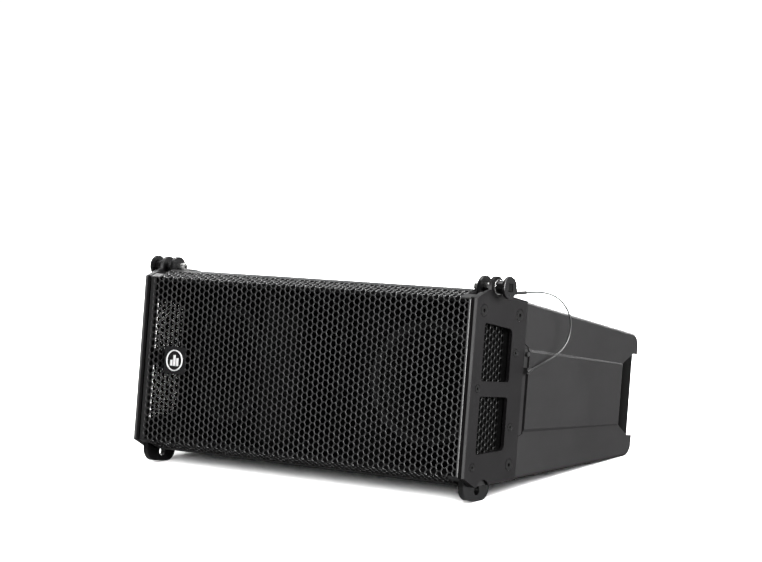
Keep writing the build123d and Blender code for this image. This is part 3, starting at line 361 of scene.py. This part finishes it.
def trim(mesh, place, outward):
    """Cuts off what lies beyond a plane, and closes the cut."""
    everything = mesh.verts[:] + mesh.edges[:] + mesh.faces[:]
    cut = bmesh.ops.bisect_plane(mesh, geom=everything, plane_co=place, plane_no=outward,
                                 clear_outer=True)
    edges = [part for part in cut["geom_cut"] if isinstance(part, bmesh.types.BMEdge)]
    open_edges = [edge for edge in edges if len(edge.link_faces) == 1]
    bmesh.ops.edgenet_fill(mesh, edges=open_edges)


def copy_into(made, sheet, shape):
    """Moves a flat sheet's mesh into place by shape, and adds it to made.

    A vertex below the flat sheet goes as far below the shaped one."""
    copies = {}
    for vert in sheet.verts:
        u, v, depth = vert.co
        there = Vector(shape(u, v))
        along_u = Vector(shape(u + NEARBY, v)) - there
        along_v = Vector(shape(u, v + NEARBY)) - there
        copies[vert] = made.verts.new(there + depth * along_u.cross(along_v).normalized())
    faces = [made.faces.new([copies[vert] for vert in face.verts]) for face in sheet.faces]
    bmesh.ops.recalc_face_normals(made, faces=faces)
    sheet.free()


def hex_sheet(made, low, high, centre, shape, cuts=(), pitch=PITCH, hole=HOLE, thick=SHEET):
    """Adds a perforated sheet between two corners (u, v); one hole lies at centre.

    Holes stand a pitch apart along v. A thick sheet is closed all round, and its holes' front
    edges are rounded. shape maps (u, v) into the box's frame, and cuts are further lines of
    constant v across the sheet, for where it bends."""
    sheet = bmesh.new()
    corner = [(math.cos(math.radians(60 * n)), math.sin(math.radians(60 * n))) for n in range(6)]
    hole_radius = hole / math.sqrt(3)
    cell_radius = pitch / math.sqrt(3)
    rings = [(cell_radius, 0), (hole_radius, 0)]
    if thick:
        turned_in = HOLE_EDGE * (1 - math.sqrt(0.5))
        rings = [
            (cell_radius, 0),
            (hole_radius + HOLE_EDGE, 0),
            (hole_radius + turned_in, -turned_in),
            (hole_radius, -HOLE_EDGE),
            (hole_radius, -thick),
            (cell_radius, -thick),
        ]
    column_step = pitch * math.sqrt(3) / 2
    first = math.floor((low[0] - centre[0]) / column_step) - 1
    last = math.ceil((high[0] - centre[0]) / column_step) + 1
    for column in range(first, last + 1):
        shift = pitch / 2 if column % 2 else 0
        bottom = math.floor((low[1] - centre[1] - shift) / pitch) - 1
        top = math.ceil((high[1] - centre[1] - shift) / pitch) + 1
        for row in range(bottom, top + 1):
            u = centre[0] + column * column_step
            v = centre[1] + shift + row * pitch
            rims = []
            for radius, depth in rings:
                rims.append([sheet.verts.new((u + radius * c, v + radius * s, depth)) for c, s in corner])
            for outer, inner in zip(rims, rims[1:]):
                for here in range(6):
                    after = (here + 1) % 6
                    sheet.faces.new((outer[here], outer[after], inner[after], inner[here]))
    bmesh.ops.remove_doubles(sheet, verts=sheet.verts, dist=SAME_POINT)
    trim(sheet, (low[0], 0, 0), (-1, 0, 0))
    trim(sheet, (high[0], 0, 0), (1, 0, 0))
    trim(sheet, (0, low[1], 0), (0, -1, 0))
    trim(sheet, (0, high[1], 0), (0, 1, 0))
    for v in cuts:
        if low[1] < v < high[1]:
            everything = sheet.verts[:] + sheet.edges[:] + sheet.faces[:]
            bmesh.ops.bisect_plane(sheet, geom=everything, plane_co=(0, v, 0), plane_no=(0, 1, 0))
    copy_into(made, sheet, shape)


def plain_sheet(made, us, vs, shape):
    """Adds a closed sheet with no holes, on a grid of the given u and v values."""
    sheet = bmesh.new()
    layers = []
    for depth in (0, -SHEET):
        layers.append([[sheet.verts.new((u, v, depth)) for v in vs] for u in us])
    last_u = len(us) - 1
    last_v = len(vs) - 1
    for grid in layers:
        for m in range(last_u):
            for n in range(last_v):
                sheet.faces.new((grid[m][n], grid[m + 1][n], grid[m + 1][n + 1], grid[m][n + 1]))
    outline = [(m, 0) for m in range(last_u)] + [(last_u, n) for n in range(last_v)]
    outline += [(m, last_v) for m in range(last_u, 0, -1)] + [(0, n) for n in range(last_v, 0, -1)]
    for here, after in zip(outline, outline[1:] + outline[:1]):
        ends = [layers[0][m][n] for m, n in (here, after)]
        ends += [layers[1][m][n] for m, n in (after, here)]
        sheet.faces.new(ends)
    copy_into(made, sheet, shape)


def smooth(item):
    """Shades the bends and the rounded hole edges smooth, and keeps the other edges sharp."""
    for face in item.data.polygons:
        face.use_smooth = True
    split = item.modifiers.new("edges", "EDGE_SPLIT")
    split.split_angle = SHARP_EDGE


# Front grille ---------------------------------------------------------------------------------
# The face is flat in front. At top and bottom it folds back along the shell's bevels as far as
# WRAP_REAR, or only NOTCH_DEPTH where it lies further out than NOTCH, to leave the ears room.
GRILLE_HALF = 274.5
FRONT_HALF = 115.6
BEVEL_SLOPE = 11.5 / 27
WRAP_REAR = 28.0
NOTCH = 259.0
NOTCH_DEPTH = 11.0
FIRST_HOLE = (-263.0, 110.0)
PLAIN_EDGE = 8.0
SIDE_RETURN = 9.4
FOLD_RADIUS = 2.5
FOLD_STEPS = 5
SIDE_STEPS = 6
FOLD_TURN = math.atan2(1, BEVEL_SLOPE)
FOLD_SETBACK = FOLD_RADIUS * math.tan(FOLD_TURN / 2)
FOLD_START = FRONT_HALF - FOLD_SETBACK
FOLD_END = FOLD_START + FOLD_RADIUS * FOLD_TURN
FOLD_CUTS = [FOLD_START + FOLD_RADIUS * FOLD_TURN * n / FOLD_STEPS for n in range(FOLD_STEPS + 1)]


def unrolled(depth):
    """How far from the grille's middle a wrap reaches this depth, measured along the sheet."""
    return FOLD_END + depth * math.hypot(1, BEVEL_SLOPE) - FOLD_SETBACK


def pan(u, v):
    """The grille's outer face, unrolled: flat in front, folded back at top and bottom."""
    reach = abs(v)
    sign = 1 if v >= 0 else -1
    if reach <= FOLD_START:
        return (u, 0, v)
    turn = min((reach - FOLD_START) / FOLD_RADIUS, FOLD_TURN)
    past = max(0, reach - FOLD_END)
    y = FOLD_RADIUS * (1 - math.cos(turn)) + past * math.sin(FOLD_TURN)
    z = FOLD_START + FOLD_RADIUS * math.sin(turn) + past * math.cos(FOLD_TURN)
    return (u, y, sign * z)


def side_fold(side):
    """The shape of one side's fold, which goes straight back. u starts where the bend does."""
    def shape(u, v):
        turn = min(u / FOLD_RADIUS, math.pi / 2)
        past = max(0, u - FOLD_RADIUS * math.pi / 2)
        x = GRILLE_HALF - FOLD_RADIUS + FOLD_RADIUS * math.sin(turn)
        y = FOLD_RADIUS * (1 - math.cos(turn)) + past
        return (side * x, y, side * v)
    return shape


def grille(made):
    """The grille: perforated in front and on both wraps, and plain along its edges and folds."""
    fold = GRILLE_HALF - FOLD_RADIUS
    left = FIRST_HOLE[0] - PITCH / 2
    hex_sheet(made, (left, -FOLD_START), (fold, FOLD_START), FIRST_HOLE, pan)
    plain_sheet(made, (-fold, left), (-FOLD_START, FOLD_START), pan)

    wrap_end = unrolled(WRAP_REAR)
    bends = FOLD_CUTS + [-v for v in FOLD_CUTS]
    for sign in (1, -1):
        low, high = sorted((sign * FOLD_START, sign * (wrap_end - PLAIN_EDGE)))
        hex_sheet(made, (-NOTCH, low), (NOTCH, high), FIRST_HOLE, pan, bends)
        rear_edge = sorted((sign * (wrap_end - PLAIN_EDGE), sign * wrap_end))
        plain_sheet(made, (-NOTCH, NOTCH), rear_edge, pan)
        for side in (1, -1):
            us = sorted((side * NOTCH, side * GRILLE_HALF))
            vs = sorted([sign * v for v in FOLD_CUTS] + [sign * unrolled(NOTCH_DEPTH)])
            plain_sheet(made, us, vs, pan)

    bend = FOLD_RADIUS * math.pi / 2
    steps = [bend * n / SIDE_STEPS for n in range(SIDE_STEPS + 1)] + [bend + SIDE_RETURN]
    for side in (1, -1):
        plain_sheet(made, steps, (-FOLD_START, FOLD_START), side_fold(side))


front_grille = piece("grille", grille, "grille_steel", replaced=["front_grille"])
smooth(front_grille)


# Window meshes --------------------------------------------------------------------------------
# Each mesh turns into its cavity, a little at its front edge and most at its rear one. Its heights
# are those of the edge by the middle, and of the far edge in front and behind.
MESH_OUTER = 279.4
MESH_DEPTHS = (20.0, 86.5)
MESH_HEIGHTS = (9.3, 86.0, 79.6)
MESH_TURN = (math.radians(1), math.radians(11))
MESH_FIRST_HOLE = (24.0, 2.0)
MESH_STEPS = 24


def curved_in(depth):
    """A window mesh's section: it curves into the cavity from its front edge backwards."""
    x = MESH_OUTER
    y = MESH_DEPTHS[0]
    step = (depth - MESH_DEPTHS[0]) / MESH_STEPS
    for n in range(MESH_STEPS):
        share = (n + 0.5) * step / (MESH_DEPTHS[1] - MESH_DEPTHS[0])
        turn = MESH_TURN[0] + share * (MESH_TURN[1] - MESH_TURN[0])
        x -= step * math.sin(turn)
        y += step * math.cos(turn)
    return x, y


def window_mesh(side, level):
    """The maker of one window's mesh; side is 1 on the right, level is 1 above the middle."""
    def shape(u, v):
        x, y = curved_in(abs(u))
        return (side * x, y, v)

    def maker(made):
        us = sorted(side * depth for depth in MESH_DEPTHS)
        vs = sorted(level * height for height in MESH_HEIGHTS[:2])
        hole = (side * MESH_FIRST_HOLE[0], MESH_FIRST_HOLE[1])
        hex_sheet(made, (us[0], vs[0]), (us[1], vs[1]), hole, shape)
        fall = (MESH_HEIGHTS[2] - MESH_HEIGHTS[1]) / (MESH_DEPTHS[1] - MESH_DEPTHS[0])
        trim(made, (0, MESH_DEPTHS[0], level * MESH_HEIGHTS[1]), (0, -fall, level))
    return maker


for side, word in SIDES:
    for level, place in ((1, "upper"), (-1, "lower")):
        mesh = piece(f"window_mesh_{place}_{word}", window_mesh(side, level), "grille_steel",
                     look="mesh_steel", replaced=[f"port_mesh_{word}"])
        smooth(mesh)


# Dust cloths ----------------------------------------------------------------------------------
# A thin black cloth keeps dust out behind each side's windows. Its weave is open enough to let
# points of light through, and in front of it a gap lets the first column of holes show.
CLOTH_AT = 269.0
CLOTH_DEPTHS = (14.2, 90.0)
CLOTH_HALF = 92.0
CLOTH_SLACK = 0.8
CLOTH_PITCH = 3.4
CLOTH_OPENING = 0.48


def dust_cloth(side):
    """The maker of the cloth behind one side's windows, a little slack in its middle."""
    def shape(u, v):
        along = (abs(u) - CLOTH_DEPTHS[0]) / (CLOTH_DEPTHS[1] - CLOTH_DEPTHS[0])
        slack = CLOTH_SLACK * math.sin(math.pi * along) * math.cos(math.pi * v / (2 * CLOTH_HALF))
        return (side * (CLOTH_AT + slack), abs(u), v)

    def maker(made):
        us = sorted(side * depth for depth in CLOTH_DEPTHS)
        hex_sheet(made, (us[0], -CLOTH_HALF), (us[1], CLOTH_HALF), (us[0], 0), shape,
                  pitch=CLOTH_PITCH, hole=CLOTH_OPENING, thick=0)
    return maker


for side, word in SIDES:
    cloth = piece(f"window_cloth_{word}", dust_cloth(side), "baffle_paint", look="dust_cloth")


# Floor and studio, in metres in the row frame -------------------------------------------------
# The floor looks pale, but bounces little light: a pale floor's full bounce would turn the black
# paint grey. The backdrop that the camera sees is likewise paler than the light it gives.
FLOOR_HALF = 60.0
FLOOR_TONE = 0.86
FLOOR_BOUNCE = 0.08
BACKDROP_LIGHT = 1.05
WORLD_LIGHT = 0.15


def lay_floor():
    """A wide plain floor under the box."""
    mesh = bpy.data.meshes.new("floor")
    corners = [(x * FLOOR_HALF, y * FLOOR_HALF, 0) for x, y in ((-1, -1), (1, -1), (1, 1), (-1, 1))]
    mesh.from_pydata(corners, [], [(0, 1, 2, 3)])
    item = bpy.data.objects.new("floor", mesh)
    bpy.context.scene.collection.objects.link(item)
    look = bpy.data.materials.new("floor")
    look.use_nodes = True
    tree = look.node_tree
    tree.nodes.remove(tree.nodes["Principled BSDF"])
    seen = tree.nodes.new("ShaderNodeLightPath")
    either = tree.nodes.new("ShaderNodeMixShader")
    tree.links.new(seen.outputs["Is Camera Ray"], either.inputs["Fac"])
    for socket, tone in ((1, FLOOR_BOUNCE), (2, FLOOR_TONE)):
        diffuse = tree.nodes.new("ShaderNodeBsdfDiffuse")
        diffuse.inputs["Color"].default_value = (*grey(tone), 1)
        tree.links.new(diffuse.outputs["BSDF"], either.inputs[socket])
    tree.links.new(either.outputs["Shader"], tree.nodes["Material Output"].inputs["Surface"])
    mesh.materials.append(look)
    return item


def light_world():
    """An even white world, dim as a light and bright as the backdrop."""
    world = bpy.data.worlds.new("studio")
    bpy.context.scene.world = world
    world.use_nodes = True
    tree = world.node_tree
    dim = tree.nodes["Background"]
    bright = tree.nodes.new("ShaderNodeBackground")
    seen = tree.nodes.new("ShaderNodeLightPath")
    either = tree.nodes.new("ShaderNodeMixShader")
    tree.links.new(seen.outputs["Is Camera Ray"], either.inputs["Fac"])
    for socket, background, strength in ((1, dim, WORLD_LIGHT), (2, bright, BACKDROP_LIGHT)):
        background.inputs["Color"].default_value = (1, 1, 1, 1)
        background.inputs["Strength"].default_value = strength
        tree.links.new(background.outputs["Background"], either.inputs[socket])
    tree.links.new(either.outputs["Shader"], tree.nodes["World Output"].inputs["Surface"])


def light_object(data, name):
    """Puts a light into the scene."""
    item = bpy.data.objects.new(name, data)
    bpy.context.scene.collection.objects.link(item)
    return item


def lamp(name, place, target, size, power):
    """A soft rectangular light at a place, aimed at a target, with its power in watts."""
    data = bpy.data.lights.new(name, "AREA")
    data.shape = "RECTANGLE"
    data.size, data.size_y = size
    data.energy = power
    item = light_object(data, name)
    item.visible_camera = False
    item.location = place
    item.rotation_euler = (Vector(target) - Vector(place)).to_track_quat("-Z", "Y").to_euler()
    return item


def sky(name, strength, spread, turn):
    """A wide soft light from far above; its spread and its turns are in degrees."""
    data = bpy.data.lights.new(name, "SUN")
    data.energy = strength
    data.angle = math.radians(spread)
    item = light_object(data, name)
    item.rotation_euler = [math.radians(angle) for angle in turn]
    return item


def share_out(name, lights, items, state="INCLUDE"):
    """Lets lights reach only the given items, or with EXCLUDE everything but them."""
    group = bpy.data.collections.new(name)
    for item in items:
        group.objects.link(item)
    for member in group.collection_objects:
        member.light_linking.link_state = state
    for light in lights:
        light.light_linking.receiver_collection = group


floor = lay_floor()
light_world()
sky("overhead", 3.2, 70, (-8, -6, 0))
lamp("behind", (-0.9, 2.6, 2.2), (0, 0, 0.15), (4.0, 1.6), 15)

# Three lamps light the sides and the rear, and leave the floor to the skies
sides_and_rear = [
    lamp("right", (3.05, -0.35, 0.8), (0.25, 0, 0.12), (2.2, 1.8), 540),
    lamp("left", (-3.0, 0.8, 0.9), (-0.25, 0, 0.12), (2.0, 1.8), 420),
    lamp("rear", (-0.4, 3.1, 0.6), (0, 0.2, 0.12), (1.8, 1.0), 300),
]
share_out("all_but_floor", sides_and_rear, [floor], "EXCLUDE")

# A second sky from the front lights the floor alone, which keeps the shadow close to the box
front_sky = sky("front_sky", 19.0, 60, (50, 0, 35))
share_out("floor_only", [front_sky], [floor])

# A lamp from the right catches the grille's hole edges, and one from the left the front edges
# of the rigging plates
rake = lamp("rake", (2.6, -0.55, 0.35), (0, 0, 0.15), (1.0, 1.0), 660)
share_out("grille_only", [rake], [front_grille])
edges = lamp("edges", (-1.5, -2.6, 0.5), (0.28, 0, 0.12), (1.2, 1.0), 210)
share_out("plates_only", [edges], [nodes["side_plate_right"], nodes["side_plate_left"]])
